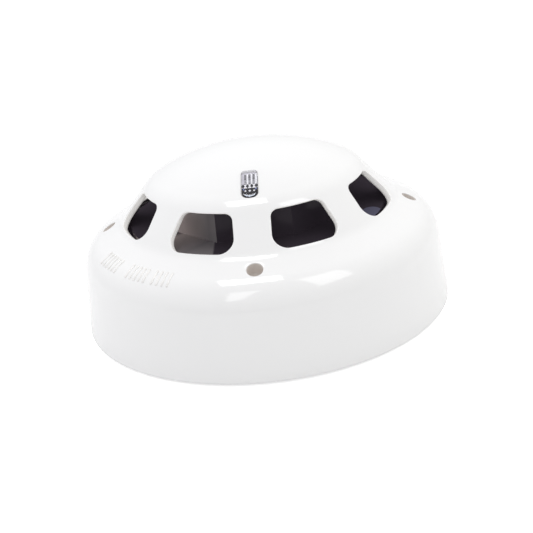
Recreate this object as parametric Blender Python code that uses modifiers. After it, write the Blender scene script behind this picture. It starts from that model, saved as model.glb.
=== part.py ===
"""Plug-in ceiling heat detector: a detector head that twists into a terminal base, modelled lying on its back.

The origin is the centre of the base's mounting face and +Z points out of the dome. Lengths are in metres.
Three groups move: the base (with its contact springs), the seal ring that lifts off with the head, and the head.
At rest the head is plugged in but not yet locked; it locks by turning clockwise, seen from the dome.
"""

import math

import bmesh
import bpy
from mathutils import Matrix, Vector

MM = 0.001

# Overall shape of the cover, as the corners of its outer section (radius, height) and their rounding radii.
SKIRT_FOOT = (50.0 * MM, 0.6 * MM)
SHOULDER = (48.4 * MM, 23.3 * MM)
SHELF_ROOT = (37.5 * MM, 28.9 * MM)
DOME_EDGE = (28.3 * MM, 39.5 * MM)
DOME_TOP = 46.4 * MM
SHOULDER_ROUND = 9.8 * MM
SHELF_ROUND = 6.0 * MM
DOME_ROUND = 10.0 * MM
WALL = 1.6 * MM

# Air windows: eight openings in the cone, parted by ribs with parallel sides.
WINDOW_COUNT = 8
WINDOW_TOP = (29.6 * MM, 38.0 * MM)
WINDOW_FOOT = (37.1 * MM, 29.4 * MM)
RIB_WIDTH = 9.8 * MM
WINDOW_TOP_ROUND = 2.0 * MM
WINDOW_FOOT_ROUND = 3.2 * MM

# Four blind sockets for the pole tool that turns the head, and four screw bosses between them.
SOCKET_CIRCLE = 41.2 * MM
SOCKET_RADIUS = 2.0 * MM
SOCKET_FLOOR = 21.0 * MM
BOSS_RADIUS = 3.3 * MM
SOCKET_BOSS_FOOT = 19.4 * MM
SCREW_BOSS_FOOT = 15.0 * MM

# Light pipe: a flat lens in a slot of the dome, on the -Y side, with a leg down to the circuit board.
LENS_NEAR = 16.8 * MM
LENS_FAR = 26.6 * MM
LENS_WIDTH = 4.3 * MM
LENS_GAP = 0.2 * MM
LENS_PROUD = 0.35 * MM
LENS_DEPTH = 2.6 * MM
LEG_OFFSET = 19.3 * MM
LEG_SIDE = 3.0 * MM
LEG_FOOT = 19.6 * MM

# Inner housing: an eight-sided tower on a round drum, with a flange between the screw bosses.
TOWER_TOP = 36.6 * MM
TOWER_CORNER_TOP = 25.3 * MM
TOWER_CORNER_FOOT = 25.9 * MM
HOUSING_WALL = 1.4 * MM
DRUM_TOP = 28.2 * MM
DRUM_RADIUS = 34.6 * MM
FLANGE_TOP = 22.4 * MM
FLANGE_RADIUS = 44.0 * MM
HOUSING_FOOT = 13.5 * MM

# Chassis: the plate that closes the head, and the spigot with its bayonet lugs.
CHASSIS_RADIUS = 46.8 * MM
CHASSIS_FLOOR = 11.2 * MM
CHASSIS_THICKNESS = 2.0 * MM
SPIGOT_RADIUS = 38.0 * MM
SPIGOT_WALL = 1.8 * MM
SPIGOT_FOOT = 4.6 * MM
BAYONET_COUNT = 3
LUG_RADIUS = 43.6 * MM
LUG_ARC = 16.0
LUG_FOOT = 5.0 * MM
LUG_THICKNESS = 1.8 * MM

# Circuit board.
BOARD_RADIUS = 32.4 * MM
BOARD_FLOOR = 16.0 * MM
BOARD_THICKNESS = 1.6 * MM
BOARD_TOP = BOARD_FLOOR + BOARD_THICKNESS
BOARD_SCREW_CIRCLE = 28.0 * MM
BOARD_SCREW_ANGLES = (24.0, 204.0)

# Terminal base.
BASE_RADIUS = 46.8 * MM
BASE_THICKNESS = 2.4 * MM
BASE_RIM_TOP = 9.0 * MM
BASE_RIM_WALL = 2.0 * MM
CABLE_HOLE = 11.0 * MM
SLOT_NEAR = 22.5 * MM
SLOT_FAR = 31.0 * MM
SLOT_WIDTH = 4.4 * MM
HOOK_REACH = 38.8 * MM
HOOK_ARC = 22.0
HOOK_THICKNESS = 1.6 * MM
HOOK_GAP = 0.4 * MM
STOP_ARC = 2.4
FIRST_HOOK = 60.0

# Raised marks on the shelf, left of the light pipe: rows of short radial bars.
MARK_NEAR = 42.2 * MM
MARK_FAR = 45.8 * MM
MARK_WIDTH = 0.9 * MM
MARK_PROUD = 0.3 * MM
MARK_PITCH = 2.05
MARK_ROWS = ((-121.0, 4), (-130.0, 4), (-140.0, 10))

# How far the head turns to lock, in degrees, clockwise from the dome side.
LOCK_TURN = 20.0

# Terminals: four sets of pad, contact spring, clamp plate and screw, one every quarter turn.
TERMINAL_COUNT = 4
TERMINAL_CIRCLE = 27.0 * MM
FIRST_TERMINAL = 25.0
PAD_TOP = 4.6 * MM
SPRING_METAL = 0.5 * MM
SPRING_WIDTH = 6.0 * MM
CREST_REACH = 11.2 * MM
CREST_TOP = 10.8 * MM
CLAMP_SIDE = 7.4 * MM
CLAMP_THICKNESS = 1.0 * MM
BLADE_FLOOR = 10.4 * MM
BLADE_METAL = 0.5 * MM
BLADE_LENGTH = 8.0 * MM
BLADE_WIDTH = 6.0 * MM
PIN_SIDE = 1.2 * MM

SPRING_PIVOT = PAD_TOP + 0.3 * MM + SPRING_METAL / 2
# The contact springs bend down about their screws while the head locks, by this many degrees in all.
SPRING_BEND = 3.0

GAP = 0.3 * MM
COVER_STEPS = 56
ROUND_STEPS = 48
HOLE_STEPS = 14
ARC_STEPS = 3
OVERLAP = 1.2 * MM
SHARP_ANGLE = 35.0


# ---------------------------------------------------------------- scene and materials


def clear_scene():
    for obj in list(bpy.data.objects):
        bpy.data.objects.remove(obj, do_unlink=True)


def make_collection(name, hidden=False):
    collection = bpy.data.collections.new(name)
    bpy.context.scene.collection.children.link(collection)
    collection.hide_render = hidden
    return collection


def make_material(name, colour, roughness, metallic=0.0):
    material = bpy.data.materials.new(name)
    material.use_nodes = True
    shader = material.node_tree.nodes["Principled BSDF"]
    shader.inputs["Base Color"].default_value = (*colour, 1.0)
    shader.inputs["Roughness"].default_value = roughness
    shader.inputs["Metallic"].default_value = metallic
    return material


clear_scene()
PARTS = make_collection("heat_detector")
CUTTERS = make_collection("cutters", hidden=True)

WHITE_PLASTIC = make_material("white_plastic", (0.90, 0.90, 0.90), 0.25)
BASE_PLASTIC = make_material("base_plastic", (0.86, 0.86, 0.85), 0.45)
BLACK_PLASTIC = make_material("black_plastic", (0.02, 0.018, 0.02), 0.2)
CLEAR_PLASTIC = make_material("clear_plastic", (0.85, 0.87, 0.92), 0.05)
SPRING_STEEL = make_material("spring_steel", (0.78, 0.77, 0.74), 0.3, 1.0)
CONTACT_BRASS = make_material("contact_brass", (0.80, 0.66, 0.38), 0.3, 1.0)
SCREW_STEEL = make_material("screw_steel", (0.72, 0.72, 0.73), 0.35, 1.0)
BOARD_GREEN = make_material("board_green", (0.04, 0.22, 0.10), 0.4)
CHIP_BLACK = make_material("chip_black", (0.03, 0.03, 0.03), 0.5)
CAN_ALUMINIUM = make_material("can_aluminium", (0.75, 0.76, 0.78), 0.3, 1.0)
EPOXY = make_material("thermistor_epoxy", (0.05, 0.04, 0.035), 0.35)
SEAL_RUBBER = make_material("seal_rubber", (0.05, 0.05, 0.05), 0.7)
LED_BODY = make_material("led_body", (0.85, 0.80, 0.72), 0.3)


# ---------------------------------------------------------------- shape helpers


def polar(radius, degrees, height=0.0):
    angle = math.radians(degrees)
    return Vector((radius * math.cos(angle), radius * math.sin(angle), height))


def turn(degrees):
    return Matrix.Rotation(math.radians(degrees), 4, "Z")


def arc(centre, radius, start, end, steps):
    """Points of a flat arc, in degrees, both ends included."""
    points = []
    for i in range(steps + 1):
        angle = math.radians(start + (end - start) * i / steps)
        points.append((centre[0] + radius * math.cos(angle), centre[1] + radius * math.sin(angle)))
    return points


def circle(centre, radius, steps):
    return arc(centre, radius, 0.0, 360.0, steps)[:-1]


def rounded_corner(before, corner, after, radius, steps):
    """Points of the arc that rounds one corner of a path."""
    before, corner, after = Vector(before), Vector(corner), Vector(after)
    back = (before - corner).normalized()
    ahead = (after - corner).normalized()
    half = back.angle(ahead) / 2
    centre = corner + (back + ahead).normalized() * radius / math.sin(half)
    start = corner + back * radius / math.tan(half) - centre
    end = corner + ahead * radius / math.tan(half) - centre
    sweep = start.angle_signed(end)
    return [tuple(centre + Matrix.Rotation(-sweep * i / steps, 2) @ start) for i in range(steps + 1)]


def place(obj, material, collection=PARTS):
    collection.objects.link(obj)
    obj.data.materials.append(material)
    return obj


def mesh_object(name, bm, material=WHITE_PLASTIC, collection=PARTS):
    mesh = bpy.data.meshes.new(name)
    bm.to_mesh(mesh)
    bm.free()
    return place(bpy.data.objects.new(name, mesh), material, collection)


def helper(obj):
    """Marks an object that only cuts or joins others."""
    obj.hide_render = True
    obj.display_type = "WIRE"
    return obj


def turned(name, profile, material, closed=False, steps=ROUND_STEPS, collection=PARTS):
    """A solid turned round Z from (radius, height) points that run down the outer side."""
    bm = bmesh.new()
    vertices = [bm.verts.new((radius, 0.0, height)) for radius, height in profile]
    for first, second in zip(vertices, vertices[1:]):
        bm.edges.new((first, second))
    if closed:
        bm.edges.new((vertices[-1], vertices[0]))
    obj = mesh_object(name, bm, material, collection)
    screw = obj.modifiers.new("turn", "SCREW")
    screw.axis = "Z"
    screw.angle = math.tau
    screw.steps = steps
    screw.render_steps = steps
    screw.use_merge_vertices = True
    screw.merge_threshold = 0.00001
    return obj


def plate(name, outlines, floor, thickness, material, collection=PARTS):
    """A flat piece from closed outlines; an outline inside another one is a hole."""
    curve = bpy.data.curves.new(name, "CURVE")
    curve.dimensions = "2D"
    curve.fill_mode = "BOTH"
    curve.extrude = thickness / 2
    for outline in outlines:
        spline = curve.splines.new("POLY")
        spline.points.add(len(outline) - 1)
        for point, (x, y) in zip(spline.points, outline):
            point.co = (x, y, 0.0, 1.0)
        spline.use_cyclic_u = True
    guide = bpy.data.objects.new(name + "_outline", curve)
    bpy.context.scene.collection.objects.link(guide)
    graph = bpy.context.evaluated_depsgraph_get()
    mesh = bpy.data.meshes.new_from_object(guide.evaluated_get(graph))
    bpy.data.objects.remove(guide, do_unlink=True)
    bm = bmesh.new()
    bm.from_mesh(mesh)
    bmesh.ops.remove_doubles(bm, verts=bm.verts, dist=0.000001)
    bmesh.ops.recalc_face_normals(bm, faces=bm.faces)
    bmesh.ops.translate(bm, verts=bm.verts, vec=(0.0, 0.0, floor + thickness / 2))
    return mesh_object(name, bm, material, collection)


def add_cylinder(bm, centre, radius, floor, top, steps=HOLE_STEPS):
    made = bmesh.ops.create_cone(
        bm, cap_ends=True, segments=steps, radius1=radius, radius2=radius, depth=top - floor
    )
    bmesh.ops.translate(bm, verts=made["verts"], vec=(centre[0], centre[1], (floor + top) / 2))
    return made["verts"]


def add_block(bm, centre, size, degrees=0.0):
    """A block with its centre and size given, turned about its own upright axis."""
    made = bmesh.ops.create_cube(bm, size=1.0)
    bmesh.ops.scale(bm, verts=made["verts"], vec=size)
    bmesh.ops.rotate(bm, verts=made["verts"], matrix=turn(degrees).to_3x3())
    bmesh.ops.translate(bm, verts=made["verts"], vec=centre)
    return made["verts"]


def sector_outline(near, far, middle, sweep):
    """Outline of a piece of a flat ring."""
    start, end = middle - sweep / 2, middle + sweep / 2
    return arc((0, 0), far, start, end, ARC_STEPS) + arc((0, 0), near, end, start, ARC_STEPS)


def slot_outline(near, far, width, degrees):
    """Outline of a slot with round ends, running outwards at an angle."""
    radius = width / 2
    flat = arc((far - radius, 0), radius, -90, 90, 6) + arc((near + radius, 0), radius, 90, 270, 6)
    return [tuple((turn(degrees) @ Vector((x, y, 0)))[:2]) for x, y in flat]


def boolean(obj, other, operation):
    modifier = obj.modifiers.new(other.name, "BOOLEAN")
    modifier.object = helper(other)
    modifier.operation = operation
    modifier.solver = "EXACT"
    return modifier


def join(obj, other):
    return boolean(obj, other, "UNION")


def cut(obj, other):
    return boolean(obj, other, "DIFFERENCE")


# ---------------------------------------------------------------- the cover's section


def outer_section():
    """(radius, height) points down the outside of the cover, from the dome's top to the skirt's foot."""
    rise = DOME_TOP - DOME_EDGE[1]
    dome_radius = (DOME_EDGE[0] ** 2 + rise**2) / (2 * rise)
    dome_centre = (0.0, DOME_TOP - dome_radius)
    edge_angle = 90 - math.degrees(math.asin(DOME_EDGE[0] / dome_radius))
    dome = arc(dome_centre, dome_radius, 90, edge_angle, 5)
    points = dome[:-2]
    points += rounded_corner(dome[-2], DOME_EDGE, SHELF_ROOT, DOME_ROUND, 3)
    points += rounded_corner(DOME_EDGE, SHELF_ROOT, SHOULDER, SHELF_ROUND, 2)
    points += rounded_corner(SHELF_ROOT, SHOULDER, SKIRT_FOOT, SHOULDER_ROUND, 4)
    points.append(SKIRT_FOOT)
    return points


def offset_section(points, distance):
    """The section moved inwards by a distance, square to itself."""
    moved = []
    for i, point in enumerate(points):
        before = Vector(points[max(i - 1, 0)])
        after = Vector(points[min(i + 1, len(points) - 1)])
        along = (after - before).normalized()
        moved.append((point[0] + along[1] * distance, point[1] - along[0] * distance))
    moved[0] = (0.0, points[0][1] - distance)
    moved[-1] = (moved[-1][0], points[-1][1])
    return moved


def half_width(distance):
    """Half the width of a window, at a distance from the axis along the window's middle."""
    slant = math.pi / WINDOW_COUNT
    return distance * math.tan(slant) - RIB_WIDTH / 2 / math.cos(slant)


def window_block():
    """A block that cuts one window square to the cone, on the +X side, with sides parallel to the ribs."""
    slope = (Vector(WINDOW_FOOT) - Vector(WINDOW_TOP)).normalized()
    outwards = Vector((-slope.y, slope.x))
    bm = bmesh.new()
    bmesh.ops.create_cube(bm, size=2.0)
    for vertex in bm.verts:
        edge = Vector(WINDOW_TOP if vertex.co.z > 0 else WINDOW_FOOT)
        radius, height = edge + outwards * (3.0 * MM if vertex.co.x > 0 else -5.0 * MM)
        vertex.co = Vector((radius, vertex.co.y * half_width(radius), height))
    for corner, rounding in ((WINDOW_TOP, WINDOW_TOP_ROUND), (WINDOW_FOOT, WINDOW_FOOT_ROUND)):
        line = Vector(corner).dot(slope)
        edges = [e for e in bm.edges if all(abs(v.co.xz.dot(slope) - line) < 0.01 * MM for v in e.verts)]
        edges = [e for e in edges if abs(e.verts[0].co.z - e.verts[1].co.z) > MM]
        bmesh.ops.bevel(bm, geom=edges, offset=rounding, segments=3, profile=0.5, affect="EDGES")
    mesh = bpy.data.meshes.new("window_block")
    bm.to_mesh(mesh)
    bm.free()
    return mesh


# ---------------------------------------------------------------- the head


def make_cover():
    outside = outer_section()
    inside = offset_section(outside, WALL)
    inside = [inside[0], *inside[2:-2:2], *inside[-2:]]
    cover = turned("cover", outside + inside[::-1], WHITE_PLASTIC, steps=COVER_STEPS)

    bosses = bmesh.new()
    for quarter in range(4):
        add_cylinder(bosses, polar(SOCKET_CIRCLE, 90 * quarter), BOSS_RADIUS, SOCKET_BOSS_FOOT, 30 * MM)
        add_cylinder(bosses, polar(SOCKET_CIRCLE, 90 * quarter + 45), BOSS_RADIUS, SCREW_BOSS_FOOT, 30 * MM)
    columns = mesh_object("cover_bosses", bosses, collection=CUTTERS)
    middle = offset_section(outside, WALL / 2) + [(0.0, SKIRT_FOOT[1])]
    boolean(columns, turned("boss_limit", middle, WHITE_PLASTIC, collection=CUTTERS), "INTERSECT")
    join(cover, columns)
    join(cover, make_marks(outside))

    openings = bmesh.new()
    block = window_block()
    step = 360.0 / WINDOW_COUNT
    for _ in range(WINDOW_COUNT):
        openings.from_mesh(block)
        bmesh.ops.rotate(openings, verts=openings.verts, matrix=turn(step).to_3x3())
    bmesh.ops.rotate(openings, verts=openings.verts, matrix=turn(step / 2).to_3x3())
    for quarter in range(4):
        add_cylinder(openings, polar(SOCKET_CIRCLE, 90 * quarter), SOCKET_RADIUS, SOCKET_FLOOR, 32 * MM, 20)
        add_cylinder(openings, polar(SOCKET_CIRCLE, 90 * quarter + 45), 1.5 * MM, 14 * MM, 22.5 * MM, 12)
    slot = plate("lens_slot", [lens_outline(0.0)], 36 * MM, 12 * MM, WHITE_PLASTIC, CUTTERS)
    openings.from_mesh(helper(slot).data)
    cut(cover, mesh_object("cover_openings", openings, collection=CUTTERS))


def make_marks(outside):
    """Short radial bars that stand a little proud of the shelf."""
    bars = bmesh.new()
    for first, count in MARK_ROWS:
        for k in range(count):
            angle = first - MARK_PITCH * k
            centre = polar((MARK_NEAR + MARK_FAR) / 2, angle, 25 * MM)
            add_block(bars, centre, (MARK_FAR - MARK_NEAR, MARK_WIDTH, 8 * MM), angle)
    marks = mesh_object("shelf_marks", bars, collection=CUTTERS)
    above = offset_section(outside, -MARK_PROUD)
    below = offset_section(outside, WALL / 2)
    skin = turned("marks_skin", above + below[::-1], WHITE_PLASTIC, collection=CUTTERS)
    boolean(marks, skin, "INTERSECT")
    return marks


def lens_outline(inset):
    """Plan outline of the lens slot: square-shouldered near the axis, round at the far end."""
    side = LENS_WIDTH / 2 - inset
    near, far = -LENS_NEAR - inset, -LENS_FAR + inset
    small = 1.0 * MM
    return (
        arc((side - small, near - small), small, 0, 90, 3)
        + arc((-side + small, near - small), small, 90, 180, 3)
        + arc((0.0, far + side), side, 180, 360, 8)
    )


def make_light_pipe():
    pipe = plate("light_pipe", [lens_outline(LENS_GAP)], 37 * MM, 12 * MM, CLEAR_PLASTIC)
    skin = offset_section(outer_section(), -LENS_PROUD)
    floor = offset_section(outer_section(), LENS_DEPTH)
    keep = 14
    shell = turned("lens_shell", skin[:keep] + floor[:keep][::-1], CLEAR_PLASTIC, collection=CUTTERS)
    boolean(pipe, shell, "INTERSECT")
    leg = bmesh.new()
    leg_top = 42.0 * MM
    add_block(leg, (0.0, -LEG_OFFSET, (leg_top + LEG_FOOT) / 2), (LEG_SIDE, LEG_SIDE, leg_top - LEG_FOOT))
    join(pipe, mesh_object("light_pipe_leg", leg, collection=CUTTERS))


def make_inner_housing():
    """Black moulding seen through the windows: it shields the circuit board and carries the thermistor."""
    wall = HOUSING_WALL
    drum_floor = DRUM_TOP - wall
    tower = [
        (0.0, TOWER_TOP),
        (TOWER_CORNER_TOP, TOWER_TOP),
        (TOWER_CORNER_FOOT, drum_floor + 0.3 * MM),
        (TOWER_CORNER_FOOT - wall, drum_floor + 0.3 * MM),
        (TOWER_CORNER_TOP - wall, TOWER_TOP - wall),
        (0.0, TOWER_TOP - wall),
    ]
    housing = turned("inner_housing", tower, BLACK_PLASTIC, steps=WINDOW_COUNT)
    housing.rotation_euler.z = math.radians(22.5)
    flange_floor = FLANGE_TOP - wall
    drum_hole = 21.5 * MM
    drum = [
        (drum_hole, DRUM_TOP),
        (DRUM_RADIUS, DRUM_TOP),
        (DRUM_RADIUS, FLANGE_TOP),
        (FLANGE_RADIUS, FLANGE_TOP),
        (FLANGE_RADIUS, flange_floor),
        (DRUM_RADIUS, flange_floor),
        (DRUM_RADIUS, HOUSING_FOOT),
        (DRUM_RADIUS - wall, HOUSING_FOOT),
        (DRUM_RADIUS - wall, drum_floor),
        (drum_hole, drum_floor),
    ]
    join(housing, turned("housing_drum", drum, BLACK_PLASTIC, closed=True, collection=CUTTERS))

    openings = bmesh.new()
    for k in range(8):
        centre = polar(SOCKET_CIRCLE, 45 * k)
        add_cylinder(openings, centre, BOSS_RADIUS + 0.5 * MM, flange_floor - MM, FLANGE_TOP + MM)
    add_cylinder(openings, (0.0, 0.0), 2.2 * MM, TOWER_TOP - 3 * MM, TOWER_TOP + MM)
    side = LEG_SIDE + 2 * GAP
    add_block(openings, (0.0, -LEG_OFFSET, TOWER_TOP), (side, side, 5 * MM))
    cut(housing, mesh_object("housing_cutter", openings, collection=CUTTERS))


def make_thermistor():
    bm = bmesh.new()
    bmesh.ops.create_uvsphere(bm, u_segments=12, v_segments=8, radius=1.25 * MM)
    bmesh.ops.scale(bm, verts=bm.verts, vec=(1.0, 1.0, 1.35))
    bead = mesh_object("thermistor_bead", bm, EPOXY)
    bead.location = (0.0, 0.0, 40.6 * MM)
    for number, x in ((1, -0.65 * MM), (2, 0.65 * MM)):
        lead = bmesh.new()
        add_cylinder(lead, (0.0, 0.0), 0.25 * MM, 15.2 * MM, 38.8 * MM, 8)
        wire = mesh_object(f"thermistor_lead_{number}", lead, SPRING_STEEL)
        wire.location.x = x


def make_chassis():
    top = CHASSIS_FLOOR + CHASSIS_THICKNESS
    section = [
        (0.0, top),
        (CHASSIS_RADIUS, top),
        (CHASSIS_RADIUS, CHASSIS_FLOOR),
        (SPIGOT_RADIUS, CHASSIS_FLOOR),
        (SPIGOT_RADIUS, SPIGOT_FOOT),
        (SPIGOT_RADIUS - SPIGOT_WALL, SPIGOT_FOOT),
        (SPIGOT_RADIUS - SPIGOT_WALL, CHASSIS_FLOOR),
        (0.0, CHASSIS_FLOOR),
    ]
    chassis = turned("chassis", section, BASE_PLASTIC)

    for k in range(BAYONET_COUNT):
        middle = FIRST_HOOK + LOCK_TURN + k * 360 / BAYONET_COUNT
        outline = sector_outline(SPIGOT_RADIUS - OVERLAP / 2, LUG_RADIUS, middle, LUG_ARC)
        name = f"bayonet_lug_{k + 1}"
        join(chassis, plate(name, [outline], LUG_FOOT, LUG_THICKNESS, BASE_PLASTIC, CUTTERS))

    posts = bmesh.new()
    for quarter in range(4):
        centre = polar(SOCKET_CIRCLE, 90 * quarter + 45)
        add_cylinder(posts, centre, 4.2 * MM, top - OVERLAP, SCREW_BOSS_FOOT - GAP)
    for angle in BOARD_SCREW_ANGLES:
        add_cylinder(posts, polar(BOARD_SCREW_CIRCLE, angle), 3.0 * MM, top - OVERLAP, BOARD_FLOOR - GAP)
    join(chassis, mesh_object("chassis_posts", posts, collection=CUTTERS))

    holes = bmesh.new()
    for quarter in range(4):
        centre = polar(SOCKET_CIRCLE, 90 * quarter + 45)
        add_cylinder(holes, centre, 2.9 * MM, 9 * MM, 13.2 * MM)
        blade = polar(blade_circle(), blade_angle(quarter))
        add_cylinder(holes, blade, 1.15 * MM, 9 * MM, 15 * MM, 12)
    cut(chassis, mesh_object("chassis_counterbores", holes, collection=CUTTERS))
    shanks = bmesh.new()
    for quarter in range(4):
        add_cylinder(shanks, polar(SOCKET_CIRCLE, 90 * quarter + 45), 1.6 * MM, 12.6 * MM, 16 * MM, 12)
    for angle in BOARD_SCREW_ANGLES:
        add_cylinder(shanks, polar(BOARD_SCREW_CIRCLE, angle), 1.4 * MM, 12.2 * MM, 17 * MM, 12)
    cut(chassis, mesh_object("chassis_shank_holes", shanks, collection=CUTTERS))


def make_screw(name, head_radius, head_height, shank_radius, shank_length, location, flip=False):
    """A pan-head screw with a crossed recess; its head's underside is at its origin and the shank points down."""
    bevel = 0.35 * MM
    section = [
        (0.0, head_height),
        (head_radius - bevel, head_height),
        (head_radius, head_height - bevel),
        (head_radius, 0.0),
        (shank_radius, 0.0),
        (shank_radius, -shank_length),
        (0.0, -shank_length),
    ]
    screw = turned(name, section, SCREW_STEEL, steps=10)
    screw.location = location
    recess = bmesh.new()
    depth = head_height * 1.1
    reach, slit = head_radius * 1.15, head_radius * 0.24
    add_block(recess, (0.0, 0.0, head_height), (reach, slit, depth))
    add_block(recess, (0.0, 0.0, head_height), (slit, reach, depth))
    bmesh.ops.translate(recess, verts=recess.verts, vec=location if not flip else (0, 0, 0))
    if flip:
        screw.rotation_euler.x = math.pi
        bmesh.ops.rotate(recess, verts=recess.verts, matrix=Matrix.Rotation(math.pi, 3, "X"))
        bmesh.ops.translate(recess, verts=recess.verts, vec=location)
    cut(screw, mesh_object(name + "_recess", recess, collection=CUTTERS)).use_self = True
    return screw


def make_circuit_board():
    outlines = [circle((0, 0), BOARD_RADIUS, ROUND_STEPS)]
    for quarter in range(4):
        outlines.append(circle(polar(blade_circle(), blade_angle(quarter))[:2], 1.15 * MM, 12))
    for angle in BOARD_SCREW_ANGLES:
        outlines.append(circle(polar(BOARD_SCREW_CIRCLE, angle)[:2], 1.6 * MM, 12))
    for x in (-0.65 * MM, 0.65 * MM):
        outlines.append(circle((x, 0.0), 0.45 * MM, 8))
    plate("circuit_board", outlines, BOARD_FLOOR, BOARD_THICKNESS, BOARD_GREEN)


def make_board_parts():
    """Components that stand on the circuit board, each a hair above it."""
    seat = BOARD_TOP + 0.1 * MM
    chips = (
        ("microcontroller", (9.0, 9.0, 15.0), (7.0, 7.0, 1.2), 45.0, CHIP_BLACK),
        ("bridge_rectifier", (-15.0, 14.0, 0.0), (6.4, 5.0, 2.4), 0.0, CHIP_BLACK),
        ("surge_suppressor", (-21.0, -2.0, 0.0), (4.6, 3.0, 2.2), 90.0, CHIP_BLACK),
        ("indicator_led", (0.0, -19.3, 0.0), (3.0, 2.6, 1.4), 0.0, LED_BODY),
    )
    for name, (x, y, _), (length, width, height), degrees, material in chips:
        bm = bmesh.new()
        centre = (x * MM, y * MM, seat + height * MM / 2)
        add_block(bm, centre, (length * MM, width * MM, height * MM), degrees)
        chip = mesh_object(name, bm, material)
        bevel = chip.modifiers.new("edges", "BEVEL")
        bevel.width = 0.2 * MM
        bevel.segments = 1
    for number, (x, y) in ((1, (-11.0, -12.0)), (2, (14.0, -8.0))):
        can_radius, can_height = 3.15 * MM, 5.4 * MM
        section = [
            (0.0, can_height),
            (can_radius - 0.4 * MM, can_height),
            (can_radius, can_height - 0.4 * MM),
            (can_radius, 1.7 * MM),
            (can_radius - 0.3 * MM, 1.4 * MM),
            (can_radius, 1.1 * MM),
            (can_radius, 0.0),
            (0.0, 0.0),
        ]
        can = turned(f"capacitor_{number}", section, CAN_ALUMINIUM, steps=16)
        can.location = (x * MM, y * MM, seat)
    bm = bmesh.new()
    bmesh.ops.create_uvsphere(bm, u_segments=10, v_segments=6, radius=0.8 * MM)
    bmesh.ops.scale(bm, verts=bm.verts, vec=(2.1, 1.0, 1.0))
    reference = mesh_object("reference_thermistor", bm, EPOXY)
    reference.location = (12.0 * MM, 22.0 * MM, seat + 0.8 * MM)


# ---------------------------------------------------------------- terminals and contacts


def terminal_angle(quarter):
    return FIRST_TERMINAL + 90.0 * quarter


def blade_circle():
    return math.hypot(TERMINAL_CIRCLE, CREST_REACH)


def blade_angle(quarter):
    """Angle of a blade at rest: one locking turn away from its spring's crest."""
    crest = math.degrees(math.atan2(CREST_REACH, TERMINAL_CIRCLE))
    return terminal_angle(quarter) + crest + LOCK_TURN


def make_contact_blade(quarter):
    """Flat blade under the chassis with a square pin up to the circuit board."""
    bm = bmesh.new()
    ramp = 1.4 * MM
    half = BLADE_LENGTH / 2
    add_block(bm, (0.0, 0.0, BLADE_FLOOR + BLADE_METAL / 2), (BLADE_WIDTH, BLADE_LENGTH, BLADE_METAL))
    for vertex in bm.verts:
        if vertex.co.y < 0 and vertex.co.z < BLADE_FLOOR + BLADE_METAL / 2:
            vertex.co.z += BLADE_METAL * 0.4
            vertex.co.y = -half + ramp * 0.3
    blade = mesh_object(f"contact_blade_{quarter + 1}", bm, CONTACT_BRASS)
    pin = bmesh.new()
    pin_top = BOARD_TOP + 0.9 * MM
    pin_foot = BLADE_FLOOR + BLADE_METAL / 2
    add_block(pin, (0.0, 0.0, (pin_top + pin_foot) / 2), (PIN_SIDE, PIN_SIDE, pin_top - pin_foot))
    rod = mesh_object(f"contact_pin_{quarter + 1}", pin, CONTACT_BRASS, CUTTERS)
    for obj in (blade, rod):
        obj.location = polar(blade_circle(), blade_angle(quarter))
        obj.rotation_euler.z = math.radians(blade_angle(quarter))
    join(blade, rod)


def spring_path():
    """Side view of the contact spring as (reach, height) along its underside: foot, rise, crest, lead-in."""
    seat = -SPRING_METAL / 2
    under_crest = CREST_TOP - SPRING_METAL - SPRING_PIVOT
    return [
        (-4.2 * MM, seat),
        (3.8 * MM, seat),
        (4.6 * MM, seat + 0.4 * MM),
        (CREST_REACH - 1.4 * MM, under_crest - 0.7 * MM),
        (CREST_REACH - 0.5 * MM, under_crest - 0.08 * MM),
        (CREST_REACH + 0.5 * MM, under_crest - 0.08 * MM),
        (CREST_REACH + 1.2 * MM, under_crest - 0.6 * MM),
        (CREST_REACH + 2.0 * MM, under_crest - 1.7 * MM),
    ]


def make_contact_spring(quarter):
    under = spring_path()
    over = offset_open_path(under, SPRING_METAL)
    strip = plate(
        f"contact_spring_{quarter + 1}", [under + over[::-1]], -SPRING_WIDTH / 2, SPRING_WIDTH, SPRING_STEEL
    )
    hole = bmesh.new()
    add_cylinder(hole, (0.0, 0.0), 1.9 * MM, -2 * MM, 2 * MM)
    punch = mesh_object(f"spring_hole_cutter_{quarter + 1}", hole, collection=CUTTERS)
    stand_up = Matrix.Rotation(math.pi / 2, 4, "X")
    spin = turn(terminal_angle(quarter) + 90.0)
    where = Matrix.Translation(polar(TERMINAL_CIRCLE, terminal_angle(quarter), SPRING_PIVOT))
    strip.matrix_world = where @ spin @ stand_up
    punch.matrix_world = where @ spin
    cut(strip, punch)


def offset_open_path(points, distance):
    """The path moved to its left by a distance, square to itself."""
    moved = []
    for i, point in enumerate(points):
        before = Vector(points[max(i - 1, 0)])
        after = Vector(points[min(i + 1, len(points) - 1)])
        along = (after - before).normalized()
        moved.append((point[0] - along[1] * distance, point[1] + along[0] * distance))
    return moved


def make_terminal(quarter):
    centre = polar(TERMINAL_CIRCLE, terminal_angle(quarter))
    clamp_floor = PAD_TOP + GAP + SPRING_METAL + GAP
    side = CLAMP_SIDE / 2
    outline = [(-side, -side), (side, -side), (side, side), (-side, side)]
    clamp = plate(
        f"clamp_plate_{quarter + 1}",
        [outline, circle((0, 0), 1.9 * MM, 12)],
        clamp_floor,
        CLAMP_THICKNESS,
        SCREW_STEEL,
    )
    clamp.location = centre
    clamp.rotation_euler.z = math.radians(terminal_angle(quarter))
    seat = Vector((0.0, 0.0, clamp_floor + CLAMP_THICKNESS + GAP))
    make_screw(f"terminal_screw_{quarter + 1}", 3.0 * MM, 2.0 * MM, 1.5 * MM, 5.8 * MM, centre + seat)


# ---------------------------------------------------------------- the base


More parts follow.
